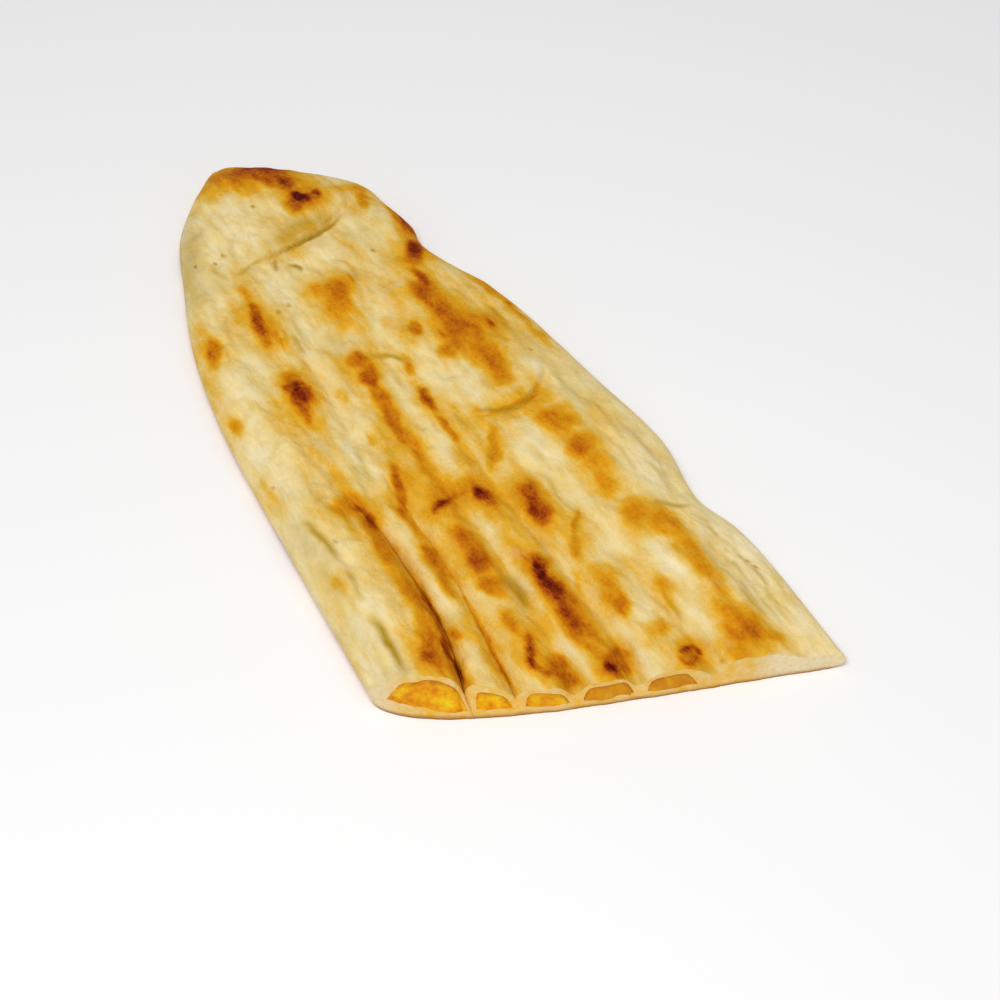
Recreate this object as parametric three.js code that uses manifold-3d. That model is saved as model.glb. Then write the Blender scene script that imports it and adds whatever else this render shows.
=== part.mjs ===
// Half of a closed cheese pide, in millimetres, +Z up.
// A long tongue of thin yeast dough is folded shut over its filling, pressed into lengthwise rolls with the
// fingers, baked on a hot stone and cut slantwise across the middle. This is one half, lying on its base.
// X runs from the rounded tip to the cut, Y from the near flank to the far one, and the base lies on Z = 0.
import * as THREE from "three";
import { mergeVertices } from "three/addons/utils/BufferGeometryUtils.js";
import Module from "manifold-3d";

const wasm = await Module();
wasm.setup();

// Driving dimensions of the plan. A place on the bread is [along, across]: the distance from the tip towards
// the cut, and the distance from the line through the tip, positive on the far side.
const TIP = [0, -4];
const NEAR_FLANK = [[7, -14.5], [23, -30.5], [43, -40], [70, -51], [103, -59], [155, -65.5], [212, -71.5]];
const FAR_FLANK = [[5.5, 5.5], [19, 21.5], [33.5, 33.4], [47, 35.6], [60, 37.2], [70, 35.6], [100, 45],
  [150, 50.5], [183, 52.8], [206, 48.5], [224, 52], [277, 50]];
const CUT_BOW = 10.4; // the cut bulges this far past the straight line between its corners
const BOW_SKEW = 0.45; // under 1 the bulge sits towards the near flank
const CUT_SLANT = 1.8; // the top skin is cut back from the base by this much
const ROLL_SLANT = 3.8; // and by this much more over the thick near roll
const ROLL_SLANT_AT = 0.12; // the middle of the near roll, as a share of the way across the cut
const ROLL_SLANT_REACH = 0.16;

// Driving dimensions of the thickness
const BODY = 9.2; // plain thickness away from rolls and creases
const RIM_HEIGHT = 3.8; // the flanks stand out furthest at this height
const NEAR_SHOULDER = 9; // how far in from the near flank the top reaches its full height
const FAR_SHOULDER = 17;
const FOOT = 6; // how far in from the flanks the base meets the table
const SKIN = 1.5; // dough over the filling
const CREASE_WALL = 8; // and this much more right under a crease that is pressed down to the floor
const WALL_REACH = 1.8; // that wall thins out this far to either side
const FLOOR = 2.2; // dough under the filling
const PRESSED = 4; // thickness where a finger pressed the skin down to the floor
const CLEARANCE = 0.3; // between the filling and the dough around it
const RECESS = 0.3; // the filling ends this far inside the cut

// Low hills of the top: place, half length, half width, height and turn in degrees
const HILLS = [
  { at: [196, -58], reach: [88, 9], rise: 6.2, turn: -7 }, // the thick roll along the near flank
  { at: [220, -52], reach: [34, 6], rise: 2.4, turn: -12 }, // its crest towards the cut
  { at: [240, 31], reach: [24, 10], rise: 1.6, turn: 0 },
  { at: [275, 32], reach: [18, 15], rise: -2.4, turn: 0 }, // the thin sealed lip at the cut's far corner
  { at: [26, -6], reach: [21, 24], rise: 2.6, turn: 0 }, // the puffed tip
  { at: [58, 28], reach: [14, 8], rise: 1.4, turn: 0 },
  { at: [75, -28], reach: [15, 7], rise: 1.3, turn: -6 },
  { at: [108, -33], reach: [13, 6.5], rise: 1.8, turn: -4 },
  { at: [78, 0], reach: [13, 8], rise: 1.2, turn: -18 },
  { at: [106, 24], reach: [24, 9], rise: 1.7, turn: 2 },
  { at: [135, 18], reach: [12, 12], rise: 1.6, turn: 0 },
  { at: [120, -11], reach: [20, 5], rise: 1.4, turn: -6 },
  { at: [168, 29], reach: [17, 7], rise: 1.5, turn: 0 },
  { at: [186, 4], reach: [13, 5], rise: 1.6, turn: -4 },
  { at: [192, -21], reach: [16, 5], rise: 1.2, turn: -6 },
  { at: [218, -10], reach: [20, 5.5], rise: 1.5, turn: -3 },
  { at: [226, 5], reach: [16, 6], rise: 1.2, turn: -4 },
  { at: [222, 30], reach: [22, 8], rise: 1.6, turn: 0 },
  { at: [240, 40.5], reach: [32, 4.5], rise: -2.6, turn: 0 }, // the flat band outside the far roll
  { at: [277, 45], reach: [16, 9], rise: -2, turn: 0 }, // and its thin end at the cut
];

// Creases pressed lengthwise, from the near flank to the far one: where each starts, passes and meets the
// cut, how far off the skin begins to dip on its near and far side, how sharp its bottom is, from a soft
// trough at 0 to a cusp at 1, and how much of the way down to the floor it goes midway and at the cut
const CREASES = [
  { path: [[143, -43.5], [195, -40.8], [231, -50.2]], spread: [5, 4.5], sharp: 0.8, press: [0.9, 1] },
  { path: [[138, -28], [196, -31], [239, -38.4]], spread: [6, 5.5], sharp: 0.5, press: [0.65, 1] },
  { path: [[128, -15.5], [200, -16], [247, -23.3]], spread: [6, 6], sharp: 0.15, press: [0.5, 1] },
  { path: [[142, -3.5], [200, -1], [254, -5.8]], spread: [6, 6], sharp: 0.05, press: [0.4, 0.95] },
  { path: [[160, 13], [215, 15.5], [262, 15]], spread: [7, 7], sharp: 0.05, press: [0.32, 0.9] },
];
const CREASE_RUN_IN = 38; // a crease reaches its depth midway over this length
const CREASE_DEEPENS = 26; // and deepens further over this length before the cut
const SOFT_REACH = 0.55; // a soft trough's width, as a share of the spread

// Shallow soft dents on the rolls, which fade out again before the cut
const DENTS = [
  { path: [[88, -21], [110, -24.5], [132, -28]], spread: 6, press: 0.3 },
  { path: [[142, -56.2], [165, -55.8], [185, -56.5]], spread: 4, press: 0.16 },
  { path: [[186, -57], [205, -59], [222, -61.5]], spread: 4.5, press: 0.22 },
  { path: [[196, 32], [232, 38], [268, 36.5]], spread: 4, press: 0.13 },
];
const DENT_RUN_OUT = 16;

// Folds across the bread, where the dough on the tip's side overlaps: places from near to far, and the drop
const FOLDS = [
  { path: [[50.5, -14], [49.7, 3], [44, 19]], drop: 2.2 },
  { path: [[143.5, 9], [148.5, 21], [144, 32]], drop: 2 },
];
const FOLD_RISE = 13; // the overlapping dough swells over this length before it drops
const FOLD_FALL = 4; // and comes back to level over this length behind the drop
const FOLD_SWELL = 0.6; // share of the drop by which it swells above the level
const FOLD_EDGE = 2.2; // it drops over this length
const FOLD_FADE = 7; // a fold dies out over this length past its ends

// The filling reaches from the cut this far towards the tip, and between these shares of the width
const FILLING_START = 0.17;
const FILLING_NEAR = -0.025;
const FILLING_FAR_AT_TIP = 0.84;
const FILLING_FAR_AT_CUT = 0.69;
const FILLING_TAPER = 0.05; // share of the width over which its edge thins out
const FILLING_NEAR_TAPER = 0.085; // and at its near edge, in the thick roll
const FILLING_SINK = 9; // how far its surface dives below the floor past that edge
const NEAR_RAMP_FROM = -55; // the floor rises from here towards the near flank, under the thick roll
const NEAR_RAMP = 0.22; // by this much for each millimetre

// Facets
const ROWS = 42; // from the tip to the cut
const TIP_CROWDING = 1.12; // over 1 the rows crowd towards the tip
const ROLL_COLUMNS = [13, 5, 6, 6, 7, 13]; // across each roll between two creases, from near to far
const EDGE_CROWDING = 0.6; // share by which a roll's columns crowd towards its two edges
const CREASES_PART_AT = 0.55; // up to this row share the creases keep their shares of the width
const BASE_COLUMNS = [0, 0.012, 0.034, 0.075, 0.16, 0.27, 0.4, 0.56, 0.74, 0.925, 0.966, 0.988, 1];
const OUTLINE_STEPS = 240;
const MOUTH_OVERRUN = 1.04; // the pocket is cut through the end as far as this share of the length

const clamp = THREE.MathUtils.clamp;
const ease = (x) => THREE.MathUtils.smoothstep(x, 0, 1);
const hill = (squared) => Math.exp(-squared);
// A quarter round: 0 at the edge, rising steeply and levelling off at full height one reach away
const shoulder = (distance, reach) => Math.sqrt(1 - (1 - clamp(distance / reach, 0, 1)) ** 2);

// Plan: one smooth outline from the near corner of the cut round the tip to the far corner
const outlinePoints = [...[...NEAR_FLANK].reverse(), TIP, ...FAR_FLANK];
const outline = new THREE.CatmullRomCurve3(outlinePoints.map(([x, y]) => new THREE.Vector3(x, y, 0)));
const outlineLengths = outline.getLengths(outlinePoints.length * OUTLINE_STEPS - OUTLINE_STEPS);
const tipShare = outlineLengths[NEAR_FLANK.length * OUTLINE_STEPS] / outlineLengths.at(-1);
const nearLine = sampleOutline(0, tipShare);
const farLine = sampleOutline(tipShare, 1);
const length = Math.max(...FAR_FLANK.map(([x]) => x));

function sampleOutline(from, to) {
  return Array.from({ length: OUTLINE_STEPS + 1 }, (_, i) =>
    outline.getPointAt(THREE.MathUtils.lerp(from, to, i / OUTLINE_STEPS)));
}

function distanceTo(line, x, y) {
  return Math.min(...line.map((p) => Math.hypot(p.x - x, p.y - y)));
}

// A place in plan from two shares: u along the flanks from the tip to the cut, t across from near to far.
// lift is 0 on the base and 1 on the top skin, which is cut back further.
function planPoint(u, t, lift) {
  const share = Math.min(u, 1);
  const near = outline.getPointAt(tipShare * (1 - share));
  const far = outline.getPointAt(tipShare + (1 - tipShare) * share);
  const bow = CUT_BOW * Math.sin(Math.PI * t ** BOW_SKEW) * share ** 4;
  const slant = (CUT_SLANT + ROLL_SLANT * hill(((t - ROLL_SLANT_AT) / ROLL_SLANT_REACH) ** 2))
    * shoulder(Math.min(t, 1 - t), 0.1) * share ** 12;
  const p = near.lerp(far, t);
  p.x += bow - lift * slant + (u - share) * length;
  return p;
}

// The parabola through three points [x, y], straight on before its first point
function parabola([[x0, y0], [x1, y1], [x2, y2]], at) {
  const x = Math.max(at, x0);
  return (y0 * (x - x1) * (x - x2)) / ((x0 - x1) * (x0 - x2))
    + (y1 * (x - x0) * (x - x2)) / ((x1 - x0) * (x1 - x2))
    + (y2 * (x - x0) * (x - x1)) / ((x2 - x0) * (x2 - x1));
}

// The share of the width at which a crease crosses a row, found by halving
function creaseShare(path, u) {
  let [low, high] = [0, 1];
  while (high - low > 1e-6) {
    const t = (low + high) / 2;
    const p = planPoint(u, t, 1);
    if (p.y < parabola(path, p.x)) low = t;
    else high = t;
  }
  return low;
}

// How far down a crease is pressed on its own line, from 0 to 1
function creaseDepth({ path, press }, x) {
  const midway = press[0] * ease((x - path[0][0]) / CREASE_RUN_IN);
  return midway + (press[1] - press[0]) * ease(1 + (x - path[2][0]) / CREASE_DEEPENS);
}

// How far down a place is pressed towards the floor, from 0 to 1
function pressedShare(x, y) {
  const trough = (away) => hill((away / SOFT_REACH) ** 2);
  const creased = CREASES.map((crease) => {
    const { path, spread, sharp } = crease;
    const offset = y - parabola(path, x);
    const away = offset < 0 ? -offset / spread[0] : offset / spread[1];
    const profile = THREE.MathUtils.lerp(trough(away), 1 - shoulder(away, 1), sharp);
    return creaseDepth(crease, x) * profile;
  });
  const dented = DENTS.map(({ path, spread, press }) => {
    const runIn = ease((x - path[0][0]) / CREASE_RUN_IN);
    const runOut = ease((path[2][0] - x) / DENT_RUN_OUT + 0.5);
    return press * runIn * runOut * trough((y - parabola(path, x)) / spread);
  });
  return Math.max(...creased, ...dented);
}

// How much of a crease's wall stands under a place, from 0 to 1
function walledShare(x, y) {
  return Math.max(...CREASES.map((crease) =>
    creaseDepth(crease, x) ** 2 * hill(((y - parabola(crease.path, x)) / WALL_REACH) ** 2)));
}

// The swell and sudden drop of the folds that run across the bread
function foldLift(x, y) {
  let lift = 0;
  for (const { path, drop } of FOLDS) {
    const acrossToAlong = path.map(([along, across]) => [across, along]);
    const behind = x - parabola(acrossToAlong, y);
    const within = Math.min(y - path[0][1], path[2][1] - y);
    const swell = FOLD_SWELL * hill((behind / FOLD_RISE) ** 2);
    const dip = (FOLD_SWELL - 1) * hill((behind / FOLD_FALL) ** 2);
    const over = ease(behind / FOLD_EDGE + 0.5);
    lift += drop * THREE.MathUtils.lerp(swell, dip, over) * ease(within / FOLD_FADE + 1);
  }
  return lift;
}

// Full thickness at a place, away from the rounding of the flanks
function thickness(x, y) {
  let full = BODY + foldLift(x, y);
  for (const { at, reach, rise, turn } of HILLS) {
    const angle = THREE.MathUtils.degToRad(turn);
    const dx = x - at[0];
    const dy = y - at[1];
    const along = dx * Math.cos(angle) + dy * Math.sin(angle);
    const across = dy * Math.cos(angle) - dx * Math.sin(angle);
    full += rise * hill((along / reach[0]) ** 2 + (across / reach[1]) ** 2);
  }
  return THREE.MathUtils.lerp(full, PRESSED, pressedShare(x, y));
}

function topHeight(x, y) {
  const nearRound = shoulder(distanceTo(nearLine, x, y), NEAR_SHOULDER);
  const farRound = shoulder(distanceTo(farLine, x, y), FAR_SHOULDER);
  return RIM_HEIGHT + (thickness(x, y) - RIM_HEIGHT) * nearRound * farRound;
}

function baseHeight(x, y) {
  const inset = Math.min(distanceTo(nearLine, x, y), distanceTo(farLine, x, y));
  return RIM_HEIGHT * (1 - shoulder(inset, FOOT));
}

const rowShares = Array.from({ length: ROWS + 1 }, (_, i) => (i / ROWS) ** TIP_CROWDING);

// Shares across the top at a row, one of them on each crease, so that facet edges follow the creases
function topShares(u) {
  const row = clamp(u, CREASES_PART_AT, 1);
  const edges = [0, ...CREASES.map(({ path }) => creaseShare(path, row)), 1];
  const shares = [0];
  ROLL_COLUMNS.forEach((count, roll) => {
    for (let i = 1; i <= count; i++) {
      const even = i / count;
      const crowded = 0.5 - 0.5 * Math.cos(Math.PI * even);
      const share = THREE.MathUtils.lerp(even, crowded, EDGE_CROWDING);
      shares.push(THREE.MathUtils.lerp(edges[roll], edges[roll + 1], share));
    }
  });
  return shares;
}

function grid(rows, sharesAt, place) {
  return rows.map((u) => sharesAt(u).map((t) => place(u, t)));
}

// A closed body between two grids of points with the same rows, whose first row and side columns coincide.
// The last rows are joined by a strip, which is the body's cut end.
function bodyBetween(top, base) {
  const corners = [];
  const triangle = (a, b, c) => corners.push(a, b, c);
  const quads = (sheet, facesUp) => {
    for (let i = 0; i + 1 < sheet.length; i++)
      for (let j = 0; j + 1 < sheet[i].length; j++) {
        const [a, b, c, d] = [sheet[i][j], sheet[i + 1][j], sheet[i + 1][j + 1], sheet[i][j + 1]];
        if (facesUp) {
          triangle(a, b, c);
          triangle(a, c, d);
        } else {
          triangle(a, c, b);
          triangle(a, d, c);
        }
      }
  };
  quads(top, true);
  quads(base, false);
  const upper = top.at(-1);
  const lower = base.at(-1);
  let i = 0;
  let j = 0;
  while (i + 1 < upper.length || j + 1 < lower.length) {
    const lowerDone = j + 1 === lower.length;
    if (i + 1 < upper.length && (lowerDone || upper[i + 1].y <= lower[j + 1].y)) {
      triangle(upper[i], lower[j], upper[i + 1]);
      i++;
    } else {
      triangle(upper[i], lower[j], lower[j + 1]);
      j++;
    }
  }
  return solidFrom(new THREE.BufferGeometry().setFromPoints(corners));
}

// A manifold solid from a closed geometry, with shared corners merged and collapsed triangles dropped
function solidFrom(geometry) {
  for (const name of Object.keys(geometry.attributes))
    if (name !== "position") geometry.deleteAttribute(name);
  const merged = mergeVertices(geometry, 1e-3);
  const index = merged.index.array;
  const kept = [];
  for (let i = 0; i < index.length; i += 3) {
    const [a, b, c] = index.slice(i, i + 3);
    if (a !== b && b !== c && a !== c) kept.push(a, b, c);
  }
  return new wasm.Manifold(new wasm.Mesh({
    numProp: 3,
    vertProperties: merged.attributes.position.array,
    triVerts: new Uint32Array(kept),
  }));
}

function geometryFrom(solid) {
  const mesh = solid.getMesh();
  return new THREE.BufferGeometry()
    .setAttribute("position", new THREE.BufferAttribute(mesh.vertProperties, 3))
    .setIndex(new THREE.BufferAttribute(mesh.triVerts, 1));
}

// The whole half, as if it were dough right through
function wholeBread() {
  const sheet = (lift, height) => (u, t) => {
    const onFlank = t === 0 || t === 1;
    const p = planPoint(u, t, lift);
    return p.setZ(onFlank ? RIM_HEIGHT : height(p.x, p.y));
  };
  const top = grid(rowShares, topShares, sheet(1, topHeight));
  const base = grid(rowShares, () => BASE_COLUMNS, sheet(0, baseHeight));
  return bodyBetween(top, base);
}

// The room under the skin over the given row shares. gap shrinks it at its top and bottom. Its points lean
// with the cut, so its end is parallel to it.
function roomUnderSkin(rows, gap) {
  const bottom = FLOOR - FILLING_SINK;
  const past = (over, taper = FILLING_TAPER) => ease(over / taper + 1);
  const sheet = (heightUnder) => (u, t) => {
    const skin = planPoint(u, t, 1);
    skin.z = topHeight(skin.x, skin.y);
    const onBorder = u === rows[0] || t === 0 || t === 1;
    const z = onBorder ? bottom : heightUnder(skin, u, t);
    return planPoint(u, t, z / skin.z).setZ(z);
  };
  const top = grid(rows, topShares, sheet((skin, u, t) => {
    const far = THREE.MathUtils.lerp(FILLING_FAR_AT_TIP, FILLING_FAR_AT_CUT, Math.min(u, 1));
    const nearby = past(FILLING_NEAR - t, FILLING_NEAR_TAPER);
    const outside = Math.max(nearby, past(t - far), past(FILLING_START - u));
    const wall = SKIN + CREASE_WALL * walledShare(skin.x, skin.y) + Math.abs(foldLift(skin.x, skin.y));
    return skin.z - wall - gap - FILLING_SINK * outside;
  }));
  const base = grid(rows, topShares, sheet(() => bottom));
  const block = () => new THREE.BoxGeometry(3 * length, 3 * length, length)
    .translate(length / 2, 0, length / 2);
  const aboveFloor = solidFrom(block().translate(0, 0, FLOOR + gap));
  const aboveRamp = solidFrom(block().rotateX(-Math.atan(NEAR_RAMP))
    .translate(0, NEAR_RAMP_FROM, FLOOR + gap));
  return bodyBetween(top, base).intersect(aboveFloor).intersect(aboveRamp);
}

const recessShare = 1 - RECESS / length;
const fillingRows = rowShares.filter((u) => u > FILLING_START - FILLING_TAPER && u < recessShare);
const filling = roomUnderSkin([...fillingRows, recessShare], CLEARANCE);
const pocket = roomUnderSkin([...fillingRows, recessShare, MOUTH_OVERRUN], 0);
const dough = wholeBread().subtract(pocket);

const crust = new THREE.MeshStandardMaterial({ color: 0xe6c88a, roughness: 0.72, metalness: 0 });
const cheese = new THREE.MeshStandardMaterial({ color: 0xe9a41c, roughness: 0.38, metalness: 0 });

const pide = new THREE.Group();
for (const [name, solid, material] of [["dough", dough, crust], ["filling", filling, cheese]]) {
  const mesh = new THREE.Mesh(geometryFrom(solid), material);
  mesh.name = name;
  pide.add(mesh);
}

// The frame's origin is under the middle of the whole half
const middle = new THREE.Box3().setFromObject(pide).getCenter(new THREE.Vector3());
pide.position.set(-middle.x, -middle.y, 0);

export default pide;
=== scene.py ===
import bpy
import numpy as np
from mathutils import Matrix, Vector, noise


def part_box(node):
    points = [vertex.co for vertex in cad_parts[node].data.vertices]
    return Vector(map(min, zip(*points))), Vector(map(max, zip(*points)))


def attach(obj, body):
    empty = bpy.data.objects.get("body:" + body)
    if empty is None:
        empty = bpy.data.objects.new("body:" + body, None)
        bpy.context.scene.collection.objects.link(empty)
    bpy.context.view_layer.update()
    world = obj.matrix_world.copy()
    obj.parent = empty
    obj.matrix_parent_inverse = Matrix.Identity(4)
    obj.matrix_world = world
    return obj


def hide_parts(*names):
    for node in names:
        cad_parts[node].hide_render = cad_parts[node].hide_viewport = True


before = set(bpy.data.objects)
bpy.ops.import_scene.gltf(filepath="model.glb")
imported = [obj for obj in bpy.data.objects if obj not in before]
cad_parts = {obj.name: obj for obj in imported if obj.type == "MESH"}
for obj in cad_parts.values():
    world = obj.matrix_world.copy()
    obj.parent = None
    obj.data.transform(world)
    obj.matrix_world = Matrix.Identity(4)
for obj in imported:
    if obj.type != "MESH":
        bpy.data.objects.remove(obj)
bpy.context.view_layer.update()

# The dough
# A long tongue of thin yeast dough, folded shut over its filling, pressed with the fingers into lengthwise
# rolls, baked on a hot stone and cut slantwise across the middle. It is one piece with room for the filling.

# Its outline from above. Places are along and across in millimetres: the distance from the tip towards the
# cut, and from a line along the bread, positive on its far side
MM = 0.001
TIP = (0, -4)
NEAR_FLANK = [(7, -14.5), (23, -30.5), (43, -40), (70, -51), (103, -59), (155, -65.5), (212, -71.5)]
FAR_FLANK = [
    (5.5, 5.5), (19, 21.5), (33.5, 33.4), (47, 35.6), (60, 37.2), (70, 35.6), (100, 45), (150, 50.5),
    (183, 52.8), (206, 48.5), (224, 52), (277, 50),
]
CURVE_STEPS = 200
OUTLINE_STEP = 10

# Its cut, which bows out, leans back most over the thick roll, and wanders with the knife. The higher the
# power of each, the closer to the cut it stays
CUT_BOW = 10.4
BOW_SKEW = 0.45
BOW_POWER = 4
CUT_SLANT = 1.8
ROLL_SLANT = 3.8
ROLL_SLANT_AT = 0.12
ROLL_SLANT_REACH = 0.16
SLANT_POWER = 12
CUT_WANDER = 0.35
WANDER_WAVES = (21, 57)
WANDER_AT_BASE = 0.2
WANDER_POWER = 40
CUT_ENDS = 0.1

# Its heights, and how far in from the edge its top and its base are rounded
BODY = 9.2
RIM_HEIGHT = 3.8
NEAR_SHOULDER = 9
FAR_SHOULDER = 17
FOOT = 6
PRESSED = 4


def ease(x):
    """From 0 to 1 with a soft start and end, and level outside them."""
    x = np.clip(x, 0, 1)
    return x * x * (3 - 2 * x)


def hill(squared):
    """A soft hill, from the squared distance to its middle: 1 there, and falling to 0."""
    return np.exp(-squared)


def shoulder(distance, reach):
    """A quarter round: 0 at the edge, rising steeply and levelling off at full height one reach away."""
    return np.sqrt(1 - (1 - np.clip(distance / reach, 0, 1)) ** 2)


def smooth_curve(points):
    """A centripetal Catmull-Rom curve through the points."""
    knots = np.array(points, float)
    knots = np.vstack([2 * knots[0] - knots[1], knots, 2 * knots[-1] - knots[-2]])
    span = np.sqrt(np.linalg.norm(np.diff(knots, axis=0), axis=1))[:, None]
    slope = np.diff(knots, axis=0) / span
    tangent = slope[:-1] + slope[1:] - (knots[2:] - knots[:-2]) / (span[:-1] + span[1:])
    start, end = knots[1:-2, None], knots[2:-1, None]
    leave = (tangent[:-1] * span[1:-1])[:, None]
    arrive = (tangent[1:] * span[1:-1])[:, None]
    s = np.linspace(0, 1, CURVE_STEPS, endpoint=False)[None, :, None]
    square = 3 * (end - start) - 2 * leave - arrive
    cube = 2 * (start - end) + leave + arrive
    curve = start + s * leave + s**2 * square + s**3 * cube
    return np.vstack([curve.reshape(-1, 2), knots[-2]])


outline = smooth_curve([*reversed(NEAR_FLANK), TIP, *FAR_FLANK])
walked = np.concatenate([[0], np.cumsum(np.linalg.norm(np.diff(outline, axis=0), axis=1))])
tip_walk = walked[len(NEAR_FLANK) * CURVE_STEPS]
length = outline[:, 0].max()
near_line = outline[: len(NEAR_FLANK) * CURVE_STEPS + 1 : OUTLINE_STEP]
far_line = outline[len(NEAR_FLANK) * CURVE_STEPS :: OUTLINE_STEP]
dough_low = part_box("dough")[0]
shift = np.array([dough_low.x / MM - outline[:, 0].min(), dough_low.y / MM - outline[:, 1].min(), 0])


def outline_at(distance):
    """The place on the outline at a distance walked along it from the near end of the cut."""
    return np.stack([np.interp(distance, walked, outline[:, axis]) for axis in (0, 1)], -1)


def plan(u, t, lift):
    """A place from two shares: u along the flanks from the tip to the cut, t across from near to far.
    lift is 0 on the base and 1 on the top skin, which is cut back further."""
    share = np.minimum(u, 1)
    near = outline_at(tip_walk * (1 - share))
    far = outline_at(tip_walk + (walked[-1] - tip_walk) * share)
    bow = CUT_BOW * np.sin(np.pi * t**BOW_SKEW) * share**BOW_POWER
    ends = shoulder(np.minimum(t, 1 - t), CUT_ENDS)
    slant = CUT_SLANT + ROLL_SLANT * hill(((t - ROLL_SLANT_AT) / ROLL_SLANT_REACH) ** 2)
    slant = slant * ends * share**SLANT_POWER
    wander = CUT_WANDER * (WANDER_AT_BASE + (1 - WANDER_AT_BASE) * lift)
    wander = wander * sum(np.sin(wave * t) for wave in WANDER_WAVES) * ends * share**WANDER_POWER
    place = near + (far - near) * t[..., None]
    place[..., 0] += bow + wander - lift * slant + (u - share) * length
    return place


def line_distance(place, line):
    """How far each place is from a line through points."""
    best = np.full(place.shape[:-1], np.inf)
    for a, b in zip(line[:-1], line[1:]):
        run = b - a
        foot = np.clip(((place - a) @ run) / (run @ run), 0, 1)
        best = np.minimum(best, np.linalg.norm(place - a - foot[..., None] * run, axis=-1))
    return best


# Low hills and hollows of the top: along, across, half length, half width, rise and turn in degrees
HILLS = [
    (196, -58, 88, 9, 6.2, -7), (220, -52, 34, 6, 2.4, -12), (240, 31, 24, 10, 1.6, 0),
    (275, 32, 18, 15, -2.4, 0), (26, -6, 21, 24, 2.6, 0), (58, 28, 14, 8, 1.4, 0),
    (75, -28, 15, 7, 1.3, -6), (108, -33, 13, 6.5, 1.8, -4), (78, 0, 13, 8, 1.2, -18),
    (106, 24, 24, 9, 1.7, 2), (135, 18, 12, 12, 1.6, 0), (120, -11, 20, 5, 1.4, -6),
    (168, 29, 17, 7, 1.5, 0), (186, 4, 13, 5, 1.6, -4), (192, -21, 16, 5, 1.2, -6),
    (218, -10, 20, 5.5, 1.5, -3), (226, 5, 16, 6, 1.2, -4), (222, 30, 22, 8, 1.6, 0),
    (240, 40.5, 32, 4.5, -2.6, 0), (277, 45, 16, 9, -2, 0),
]

# Creases pressed lengthwise by the fingers: start, passing place and end, reach to the near and to the far
# side, how sharp the bottom is, and how far down it is pressed midway and at the cut
CREASES = [
    ((143, -43.5), (195, -40.8), (231, -50.2), 5, 4.5, 0.8, 0.9, 1),
    ((138, -28), (196, -31), (239, -38.4), 6, 5.5, 0.5, 0.65, 1),
    ((128, -15.5), (200, -16), (247, -23.3), 6, 6, 0.15, 0.5, 1),
    ((142, -3.5), (200, -1), (254, -5.8), 6, 6, 0.05, 0.4, 0.95),
    ((160, 13), (215, 15.5), (262, 15), 7, 7, 0.05, 0.32, 0.9),
]
CREASE_RUN_IN = 38
CREASE_DEEPENS = 26
SOFT_REACH = 0.55
MEANDER = 0.3
MEANDER_WAVE = 6.5

# Shallow lengthwise dents: start, passing place and end, reach and share of the way down
DENTS = [
    ((88, -21), (110, -24.5), (132, -28), 6, 0.3), ((142, -56.2), (165, -55.8), (185, -56.5), 4, 0.16),
    ((186, -57), (205, -59), (222, -61.5), 4.5, 0.22), ((196, 32), (232, 38), (268, 36.5), 4, 0.13),
]
DENT_RUN_OUT = 16

# Folds across the bread, where the dough on the tip's side overlaps: near end, middle, far end and drop
FOLDS = [((50.5, -14), (49.7, 3), (44, 19), 2.2), ((143.5, 9), (148.5, 21), (144, 32), 2)]
FOLD_RISE = 13
FOLD_FALL = 4
FOLD_SWELL = 0.6
FOLD_EDGE = 1.6
FOLD_FADE = 7


def parabola(points, at):
    """The height of the parabola through three points, level before the first."""
    (x0, y0), (x1, y1), (x2, y2) = points
    x = np.maximum(at, x0)
    first = y0 * (x - x1) * (x - x2) / ((x0 - x1) * (x0 - x2))
    second = y1 * (x - x0) * (x - x2) / ((x1 - x0) * (x1 - x2))
    third = y2 * (x - x0) * (x - x1) / ((x2 - x0) * (x2 - x1))
    return first + second + third


def crease_line(path, x):
    """Where a crease lies across the bread at each distance along it, with a slight meander."""
    return parabola(path, x) + MEANDER * np.sin(x / MEANDER_WAVE + path[0][1])


def crease_depth(path, midway, at_cut, x):
    """How far down a crease is pressed on its own line, from 0 to 1."""
    depth = midway * ease((x - path[0][0]) / CREASE_RUN_IN)
    return depth + (at_cut - midway) * ease(1 + (x - path[2][0]) / CREASE_DEEPENS)


def pressed_share(x, y):
    """How far down a place is pressed towards the floor, from 0 to 1."""
    most = np.zeros_like(x)
    for *path, near_reach, far_reach, sharp, midway, at_cut in CREASES:
        offset = y - crease_line(path, x)
        away = np.where(offset < 0, -offset / near_reach, offset / far_reach)
        profile = sharp * (1 - shoulder(away, 1)) + (1 - sharp) * hill((away / SOFT_REACH) ** 2)
        most = np.maximum(most, crease_depth(path, midway, at_cut, x) * profile)
    for *path, reach, press in DENTS:
        depth = press * ease((x - path[0][0]) / CREASE_RUN_IN) * ease((path[2][0] - x) / DENT_RUN_OUT + 0.5)
        most = np.maximum(most, depth * hill(((y - crease_line(path, x)) / (SOFT_REACH * reach)) ** 2))
    return most


def fold_lift(x, y):
    """How far the folds raise or lower the top, in millimetres."""
    lift = np.zeros_like(x)
    for *path, drop in FOLDS:
        behind = x - parabola([(across, along) for along, across in path], y)
        within = np.minimum(y - path[0][1], path[2][1] - y)
        swell = FOLD_SWELL * hill((behind / FOLD_RISE) ** 2)
        dip = (FOLD_SWELL - 1) * hill((behind / FOLD_FALL) ** 2)
        over = ease(behind / FOLD_EDGE + 0.5)
        lift += drop * (swell + (dip - swell) * over) * ease(within / FOLD_FADE + 1)
    return lift


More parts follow.
